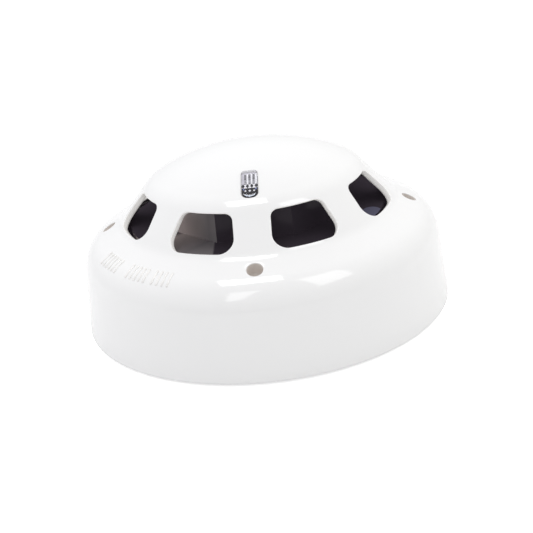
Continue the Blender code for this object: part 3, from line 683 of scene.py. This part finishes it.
def make_leg():
    """Clear square rod from the lens down to the indicator on the board, slightly tapered and rounded."""
    foot, top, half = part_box("light_pipe")[0].z, LEG_TOP * MM, LEG_SIDE * MM / 2
    rows = []
    for height, narrower, round_by in (
        (foot, 0.45, 0.3),
        (foot + 0.3 * MM, 0.2, LEG_ROUND),
        (foot + 6 * MM, 0.15, LEG_ROUND),
        (top - 3 * MM, 0.0, LEG_ROUND),
        (top, 0.0, LEG_ROUND),
    ):
        reach = half - narrower * MM
        corners = [Vector((x * reach, y * reach)) for x, y in ((1, 1), (-1, 1), (-1, -1), (1, -1))]
        ring = []
        for i in range(4):
            ring += rounded(corners[i - 1], corners[i], corners[(i + 1) % 4], round_by * MM, 4)
        rows.append([Vector((p.x, p.y - LEG_FROM_AXIS * MM, height)) for p in ring])
    builder = Builder()
    builder.rows(rows, closed=True)
    for ring in (rows[0], rows[-1]):
        builder.disc(ring, sum(ring, Vector()) / len(ring), rings=2)
    leg = builder.object("light_pipe_leg")
    leg.data.set_sharp_from_angle(angle=math.radians(40))
    return leg


# ---------------------------------------------------------------- raised marks

# Each group: bearing of its first bar in degrees, and the number of bars.
MARK_GROUPS = ((-28.8, 4), (-38.5, 5), (-53.4, 6))
MARK_PITCH = 2.05
MARK_TOP, MARK_FOOT = 42.2, 45.8
MARK_HALF, MARK_PROUD, MARK_SUNK = 0.34, 0.28, 0.25


def make_marks():
    """Plain raised bars in three groups on the left of the shoulder, each a rounded pill."""
    builder = Builder()
    start, end = SECTION.where(MARK_TOP), SECTION.where(MARK_FOOT)
    middle = (start + end) / 2
    length = (end - start) / 2 - MARK_HALF
    outline = []
    for k in range(16):
        angle = math.radians(360 * k / 16)
        shift = length if k <= 8 else -length
        outline.append(Vector((MARK_HALF * math.cos(angle), MARK_HALF * math.sin(angle) + shift)))
    levels = ((1.0, -MARK_SUNK), (1.0, MARK_PROUD * 0.35), (0.88, MARK_PROUD * 0.8), (0.6, MARK_PROUD))
    for first, count in MARK_GROUPS:
        for k in range(count):
            bearing = math.radians(first - MARK_PITCH * k)
            rings = []
            for size, height in levels:
                ring = []
                for point in outline:
                    along = length if point.y > 0 else -length
                    flat = Vector((point.x * size, middle + along + (point.y - along) * size))
                    angle, distance = flat_to_angle(flat)
                    ring.append(surface(bearing + angle, distance, -height))
                rings.append(ring)
            builder.rows(rings, closed=True)
            for ring in (rings[-1], rings[0]):
                builder.fan(ring, sum(ring, Vector()) / len(ring))
    return builder.object("shoulder_marks")


cover = make_cover()
lens = make_lens()
leg = make_leg()
marks = make_marks()
for piece in (cover, lens, leg, marks):
    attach(piece, "head")
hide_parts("cover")
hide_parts("light_pipe")


# ---------------------------------------------------------------- materials


class Tree:
    """The node tree of a material or a world, with short ways to add to it."""

    def __init__(self, owner):
        owner.use_nodes = True
        self.nodes, self.links = owner.node_tree.nodes, owner.node_tree.links

    def add(self, kind, **settings):
        node = self.nodes.new(kind)
        for key, value in settings.items():
            setattr(node, key, value)
        return node

    def put(self, value, socket):
        """Gives a socket a number, a colour or the output of another node."""
        if isinstance(value, (int, float)):
            socket.default_value = value
        elif isinstance(value, tuple):
            socket.default_value = (*value, 1.0)
        else:
            self.links.new(value, socket)

    def fill(self, node, values):
        for label, value in values.items():
            self.put(value, node.inputs[label])
        return node

    def calc(self, operation, *values):
        node = self.add("ShaderNodeMath", operation=operation)
        for value, socket in zip(values, node.inputs):
            self.put(value, socket)
        return node.outputs[0]

    def mix(self, mask, low, high):
        """Goes from one colour to another as the mask goes from 0 to 1."""
        node = self.add("ShaderNodeMix", data_type="RGBA")
        self.put(mask, node.inputs["Factor"])
        ends = [socket for socket in node.inputs if socket.type == "RGBA" and socket.name in ("A", "B")]
        for value, socket in zip((low, high), ends):
            self.put(value, socket)
        return next(socket for socket in node.outputs if socket.type == "RGBA")

    def ramp(self, value, low, high, start=0.3, end=0.7, smooth=False):
        """Goes from low to high, two numbers or two colours, as the value goes from start to end."""
        if isinstance(low, tuple):
            return self.mix(self.ramp(value, 0.0, 1.0, start, end, smooth), low, high)
        node = self.add("ShaderNodeMapRange", interpolation_type="SMOOTHSTEP" if smooth else "LINEAR")
        self.fill(node, {"Value": value, "From Min": start, "From Max": end, "To Min": low, "To Max": high})
        return node.outputs["Result"]

    def place(self, kind="Object"):
        """The x, y and z of a texture coordinate."""
        split = self.add("ShaderNodeSeparateXYZ")
        self.put(self.add("ShaderNodeTexCoord").outputs[kind], split.inputs[0])
        return split.outputs[0], split.outputs[1], split.outputs[2]

    def textured(self, kind, values):
        """A texture node in the object's own coordinates."""
        node = self.fill(self.add(kind), values)
        self.put(self.add("ShaderNodeTexCoord").outputs["Object"], node.inputs["Vector"])
        return node

    def noise(self, scale, detail=3.0, roughness=0.55):
        values = {"Scale": scale, "Detail": detail, "Roughness": roughness}
        return self.textured("ShaderNodeTexNoise", values).outputs["Fac"]

    def bump(self, height, strength, distance=0.00002):
        values = {"Height": height, "Strength": strength, "Distance": distance}
        return self.fill(self.add("ShaderNodeBump"), values).outputs["Normal"]

    def start_again(self, shader):
        """Leaves only an output node, fed by a new shader node."""
        self.nodes.clear()
        shader = self.add(shader)
        self.put(shader.outputs[0], self.add("ShaderNodeOutputMaterial").inputs["Surface"])
        return shader


def new_material(name):
    material = bpy.data.materials.new(name)
    tree = Tree(material)
    return material, tree, tree.nodes["Principled BSDF"]


def plastic(name, colour, spread, roughness, grain=0.05, grain_scale=2500.0, specular=0.5, glow=None):
    """Moulded plastic: slight flow variation in colour and gloss, and a fine skin texture."""
    material, tree, shader = new_material(name)
    duller = tuple(c * (1 - spread) for c in colour)
    values = {
        "Base Color": tree.ramp(tree.noise(45.0), duller, colour),
        "Roughness": tree.ramp(tree.noise(160.0, 4.0), roughness * 0.85, roughness * 1.2),
        "Specular IOR Level": specular,
        "Normal": tree.bump(tree.noise(grain_scale, 2.0), grain),
    }
    # A glow is painted light: the surface emits though it is no lamp.
    if glow:
        values.update({"Emission Color": glow, "Emission Strength": 1.0})
    tree.fill(shader, values)
    return material


def metal(name, colour, spread, roughness):
    """Plated metal: stained in patches, and worn to an uneven gloss."""
    material, tree, shader = new_material(name)
    duller = tuple(c * (1 - spread) for c in colour)
    wear = tree.noise(900.0, 5.0, 0.7)
    values = {
        "Metallic": 1.0,
        "Base Color": tree.ramp(tree.noise(300.0, 4.0), duller, colour),
        "Roughness": tree.ramp(wear, roughness * 0.7, roughness * 1.4),
        "Normal": tree.bump(wear, 0.15),
    }
    tree.fill(shader, values)
    return material


def housing_material():
    """Glossy black plastic with duller ledges, a faint painted glow, and painted reflections behind two of the
    windows.
    """
    material, tree, shader = new_material("black_housing")
    x, y, z = tree.place()
    facing_x, facing_y, facing_z = tree.place("Normal")
    up = tree.ramp(facing_z, 0.0, 1.0, 0.5, 0.8)
    plain = tree.ramp(tree.noise(60.0), (0.030, 0.025, 0.032), (0.036, 0.030, 0.038))

    # Painted reflection on the facet that looks to the front left, and on the ledge at its foot, warmer towards its
    # left.
    left_front = tree.calc("MULTIPLY", tree.calc("ADD", facing_x, facing_y), -0.7071)
    above_ledge = tree.ramp(z, 0.0, 1.0, 0.0262, 0.0270)
    facet = tree.calc("MULTIPLY", tree.ramp(left_front, 0.0, 1.0, 0.85, 0.95), above_ledge)
    across = tree.calc("SUBTRACT", y, x)
    left = tree.ramp(x, 0.0, 1.0, -0.0103, -0.0108)
    beside = tree.calc("MULTIPLY", left, tree.ramp(across, 0.0, 1.0, 0.0080, 0.0040))
    ledge = tree.calc("MULTIPLY", tree.calc("MULTIPLY", up, beside), 0.80)
    painted_reflection = tree.calc("MAXIMUM", facet, ledge)
    painted_reflection_tone = tree.ramp(across, (0.20, 0.187, 0.19), (0.62, 0.54, 0.515), -0.0100, 0.0040)
    fade = tree.ramp(z, 0.92, 1.0, 0.0285, 0.0350)
    colour = tree.mix(tree.calc("MULTIPLY", painted_reflection, fade), plain, painted_reflection_tone)

    # Painted reflection, a blue-grey arch, on the ledge at the right: an ellipse about (30.3, -13.5) mm.
    side = tree.calc("POWER", tree.calc("DIVIDE", tree.calc("SUBTRACT", x, 0.0303), 0.0030), 2.0)
    deep = tree.calc("POWER", tree.calc("DIVIDE", tree.calc("ADD", y, 0.0135), 0.0050), 2.0)
    inside = tree.ramp(tree.calc("ADD", side, deep), 0.0, 1.0, 1.05, 0.95)
    colour = tree.mix(tree.calc("MULTIPLY", up, inside), colour, (0.098, 0.098, 0.145))

    values = {
        "Base Color": colour,
        # A faint painted glow lifts the black.
        "Emission Color": (0.0060, 0.0047, 0.0063),
        "Emission Strength": 1.0,
        "Specular IOR Level": tree.calc("MULTIPLY", tree.calc("SUBTRACT", 1.0, up), 0.10),
        "Roughness": tree.ramp(tree.noise(160.0), 0.10, 0.16),
        "Normal": tree.bump(tree.noise(220.0), 0.03),
    }
    tree.fill(shader, values)
    return material


def board_material():
    """Green solder resist with copper tracks showing faintly through it."""
    material, tree, shader = new_material("board_green")
    values = {
        "Scale": 260.0,
        "Mortar Size": 0.08,
        "Color1": (0.01, 0.10, 0.035),
        "Color2": (0.012, 0.12, 0.045),
        "Mortar": (0.04, 0.24, 0.09),
    }
    tracks = tree.textured("ShaderNodeTexBrick", values)
    values = {
        "Base Color": tracks.outputs["Color"],
        "Roughness": tree.ramp(tree.noise(200.0), 0.18, 0.3),
        "Normal": tree.bump(tracks.outputs["Fac"], 0.3, 0.00003),
    }
    tree.fill(shader, values)
    return material


def clear_material(name, tint):
    """Thin clear plastic: sees straight through, with a surface reflection."""
    material = bpy.data.materials.new(name)
    tree = Tree(material)
    mix = tree.start_again("ShaderNodeMixShader")
    through = tree.fill(tree.add("ShaderNodeBsdfTransparent"), {"Color": tint})
    values = {
        "Roughness": tree.ramp(tree.noise(300.0), 0.02, 0.05),
        "Normal": tree.bump(tree.noise(300.0), 0.02),
    }
    shine = tree.fill(tree.add("ShaderNodeBsdfGlossy"), values)
    fresnel = tree.fill(tree.add("ShaderNodeFresnel"), {"IOR": 1.45})
    for node, socket in zip((fresnel, through, shine), mix.inputs):
        tree.put(node.outputs[0], socket)
    return material


WHITE = plastic("white_gloss", (0.92, 0.92, 0.92), 0.01, 0.05, grain=0.012, grain_scale=150.0)
OFF_WHITE = plastic("white_satin", (0.86, 0.86, 0.85), 0.02, 0.32, grain=0.25)
BLACK = housing_material()
RUBBER = plastic("seal_black", (0.03, 0.03, 0.032), 0.3, 0.65, grain=0.5)
CHIP = plastic("chip_black", (0.025, 0.025, 0.027), 0.25, 0.45, grain=0.6)
EPOXY = plastic("epoxy_dark", (0.035, 0.028, 0.022), 0.3, 0.18, grain=0.1)
LED_CREAM = plastic("led_cream", (0.85, 0.78, 0.62), 0.05, 0.25)
STEEL = metal("plated_steel", (0.66, 0.65, 0.63), 0.15, 0.28)
ZINC = metal("zinc_plate", (0.62, 0.62, 0.64), 0.2, 0.33)
BRASS = metal("plated_brass", (0.78, 0.62, 0.34), 0.15, 0.28)
ALUMINIUM = metal("can_aluminium", (0.78, 0.79, 0.81), 0.08, 0.25)
BOARD = board_material()

# The CAD nodes' materials, by the start of their names.
LOOKS = {
    "base_plate": OFF_WHITE,
    "chassis": OFF_WHITE,
    "inner_housing": BLACK,
    "seal_ring": RUBBER,
    "circuit_board": BOARD,
    "microcontroller": CHIP,
    "bridge_rectifier": CHIP,
    "surge_suppressor": CHIP,
    "indicator_led": LED_CREAM,
    "capacitor": ALUMINIUM,
    "reference_thermistor": EPOXY,
    "thermistor_bead": EPOXY,
    "thermistor_lead": STEEL,
    "contact_spring": STEEL,
    "contact_blade": BRASS,
    "clamp_plate": ZINC,
    "terminal_screw": ZINC,
    "board_screw": ZINC,
    "chassis_screw": ZINC,
}
for name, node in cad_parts.items():
    for prefix, material in LOOKS.items():
        if name.startswith(prefix):
            node.data.materials.clear()
            node.data.materials.append(material)
            node.data.shade_smooth()
            node.data.set_sharp_from_angle(angle=math.radians(35))

# The drawn pieces' materials, in the order of the numbers on their faces.
OWN_LOOKS = {
    cover: (
        WHITE,
        # Reveals glow with painted light; sockets are darker and warmer with painted shade, lifted by a faint painted
        # glow.
        plastic("white_reveal_painted_light", (0.88, 0.87, 0.86), 0.02, 0.3, glow=(0.19, 0.185, 0.175)),
        plastic("white_socket_painted_shade", (0.62, 0.58, 0.55), 0.02, 0.4, glow=(0.08, 0.073, 0.067)),
    ),
    lens: (
        clear_material("clear_skin", (0.98, 0.985, 1.0)),
        # Prism facets: the light, grey, lilac and sky-blue ones glow with painted light, the dark ones are painted
        # shade of the inside, the blue ones painted glints, and the sky-blue one a painted reflection of the overhead
        # light.
        plastic("prism_painted_light", (0.92, 0.91, 0.93), 0.1, 0.2, glow=(0.32, 0.32, 0.34)),
        plastic("prism_grey_painted_light", (0.50, 0.48, 0.52), 0.15, 0.2, glow=(0.07, 0.07, 0.075)),
        plastic("prism_painted_shade", (0.022, 0.020, 0.030), 0.3, 0.2, specular=0.1),
        plastic("prism_painted_glint", (0.25, 0.30, 0.60), 0.1, 0.2, glow=(0.04, 0.05, 0.12)),
        plastic("prism_painted_lilac", (0.72, 0.70, 0.76), 0.1, 0.2, glow=(0.16, 0.155, 0.17)),
        plastic("prism_painted_overhead_reflection", (0.70, 0.76, 0.88), 0.1, 0.2, glow=(0.16, 0.18, 0.22)),
    ),
    leg: (plastic("clear_rod", (0.72, 0.75, 0.78), 0.05, 0.08),),
    # The bars' warm tint is painted shade along the raised strokes.
    marks: (plastic("white_marks", (0.925, 0.917, 0.897), 0.02, 0.12),),
}
for piece, materials in OWN_LOOKS.items():
    for material in materials:
        piece.data.materials.append(material)


# ---------------------------------------------------------------- light, floor and camera


def softbox(name, corners, strength):
    """A glowing sheet one metre up that only shows in reflections."""
    mesh = bpy.data.meshes.new(name)
    mesh.from_pydata([(x, y, 1.0) for x, y in corners], [], [(0, 1, 2, 3)])
    material = bpy.data.materials.new(name + "_glow")
    tree = Tree(material)
    tree.fill(tree.start_again("ShaderNodeEmission"), {"Color": (1.0, 1.0, 1.0), "Strength": strength})
    mesh.materials.append(material)
    obj = linked(name, mesh)
    obj.visible_camera = False
    obj.visible_diffuse = False


def make_floor():
    """A white table that burns out to the backdrop's white in front of the camera."""
    side, height = 3.0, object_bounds()[0][2] - 0.0002
    mesh = bpy.data.meshes.new("floor")
    corners = ((-side, -side), (side, -side), (side, side), (-side, side))
    mesh.from_pydata([(x, y, height) for x, y in corners], [], [(0, 1, 2, 3)])
    material, tree, shader = new_material("table_white")
    seen_by = tree.add("ShaderNodeLightPath").outputs
    glow = tree.calc("MULTIPLY_ADD", seen_by["Is Camera Ray"], 0.55, 0.095)
    # In reflections, the strip beside and just behind the object is the brightest.
    y = tree.place()[1]
    rise = tree.ramp(y, 0.0, 0.16, -0.10, 0.05, smooth=True)
    fall = tree.ramp(y, 1.0, 0.0, 0.07, 0.17, smooth=True)
    glow = tree.calc("MULTIPLY_ADD", seen_by["Is Glossy Ray"], tree.calc("MULTIPLY", rise, fall), glow)
    values = {
        "Base Color": (0.80, 0.80, 0.80),
        "Roughness": 0.6,
        "Emission Color": (1.0, 1.0, 1.0),
        "Emission Strength": glow,
    }
    tree.fill(shader, values)
    mesh.materials.append(material)
    linked("floor", mesh)


def make_world():
    """Soft room light: brighter behind and overhead, dark at the horizon in front. The camera sees plain white."""
    world = bpy.data.worlds.new("studio")
    bpy.context.scene.world = world
    tree = Tree(world)
    x, y, z = tree.place("Generated")
    depth = tree.ramp(y, 0.72, 0.985, -0.9, 0.5, smooth=True)
    height = tree.ramp(z, 0.89, 1.33, 0.0, 0.8, smooth=True)
    above_horizon = tree.ramp(z, 0.0, 1.0, 0.04, 0.12, smooth=True)
    behind = tree.ramp(y, 0.0, 1.0, -0.75, -0.35, smooth=True)
    lit = tree.calc("MAXIMUM", above_horizon, behind)
    strength = tree.calc("MULTIPLY", tree.calc("MULTIPLY", depth, height), lit)
    camera_ray = tree.add("ShaderNodeLightPath").outputs["Is Camera Ray"]
    values = {
        "Strength": tree.calc("MULTIPLY_ADD", camera_ray, 1.1, strength),
        "Color": tree.ramp(x, (0.982, 0.984, 1.0), (1.0, 0.996, 0.988), -0.6, 0.6, smooth=True),
    }
    tree.fill(tree.nodes["Background"], values)


def make_camera():
    """Long-lens view from a little to the right of the light pipe, slightly tilted."""
    azimuth, elevation, roll = math.radians(3.34), math.radians(22.16), math.radians(-6.90)
    distance = 0.33845
    turn = Matrix.Rotation(azimuth, 3, "Z")
    target = turn @ Vector((0.00050, 0.00372, 0.00914))
    back = turn @ Vector((0.0, -math.cos(elevation), math.sin(elevation)))
    camera = linked("camera", bpy.data.cameras.new("camera"))
    camera.data.sensor_width = 36.0
    camera.data.lens = 81.27
    camera.data.clip_start = 0.01
    camera.location = target + back * distance
    facing = back.to_track_quat("Z", "Y").to_matrix() @ Matrix.Rotation(roll, 3, "Z")
    camera.rotation_euler = facing.to_euler()
    bpy.context.scene.camera = camera


make_floor()
make_world()
softbox("overhead", ((-0.30, -0.18), (0.12, -0.14), (0.06, 0.16), (-0.27, 0.16)), 8.0)
softbox("front_left", ((-0.32, -0.59), (-0.02, -0.60), (-0.34, -1.35), (-0.68, -1.5)), 3.6)
softbox("right", ((0.23, -0.25), (0.53, -0.07), (1.08, -0.43), (0.78, -0.95)), 4.0)
make_camera()
bpy.context.scene.view_settings.view_transform = "Standard"
